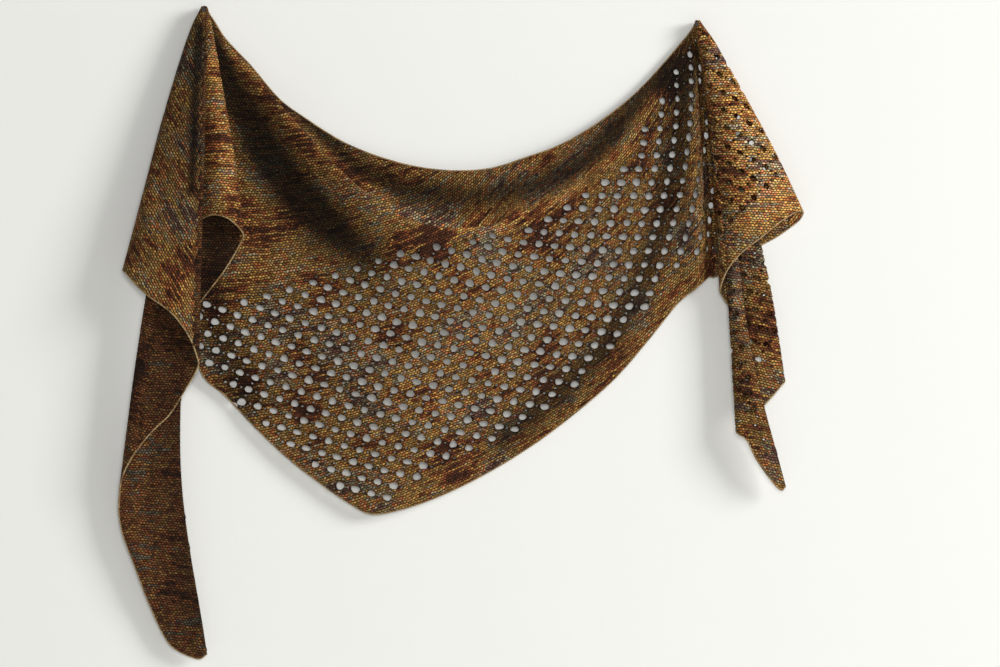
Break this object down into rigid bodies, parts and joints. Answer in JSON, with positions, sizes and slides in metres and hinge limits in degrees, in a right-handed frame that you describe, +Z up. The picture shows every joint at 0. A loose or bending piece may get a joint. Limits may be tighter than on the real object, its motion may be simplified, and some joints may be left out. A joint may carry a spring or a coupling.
{
  "type": "asymmetrical knitted shawl hung on two wall pins",
  "caption": "Thin asymmetric triangular lace shawl hung on two wall pins: a draped middle with a folded top, and a gathered flap and hanging tail at each side.",
  "frame": {"origin": "the foot of the left wall pin, in the plane of the wall", "axes": "X runs to the right along the wall as seen from the room, Y runs into the wall, Z is up; the wall is the plane Y = 0 and the shawl hangs on its negative side"},
  "size_m": [0.7537, 0.0561, 0.7189],
  "materials": {
    "knit": "variegated olive, ochre, rust and plum wool knit, matt with a soft bloom",
    "pin": "darkened steel"
  },
  "bodies": {
    "root": {"hanging_panel": "knit", "left_tail_tip": "knit", "left_tail_middle": "knit", "left_flap": "knit", "left_pleat_front": "knit", "left_pleat_back": "knit", "right_back_panel": "knit", "right_flap": "knit", "right_tail_back": "knit", "right_tail_front": "knit", "left_wall_pin": "pin", "right_wall_pin": "pin"}
  },
  "joints": []
}
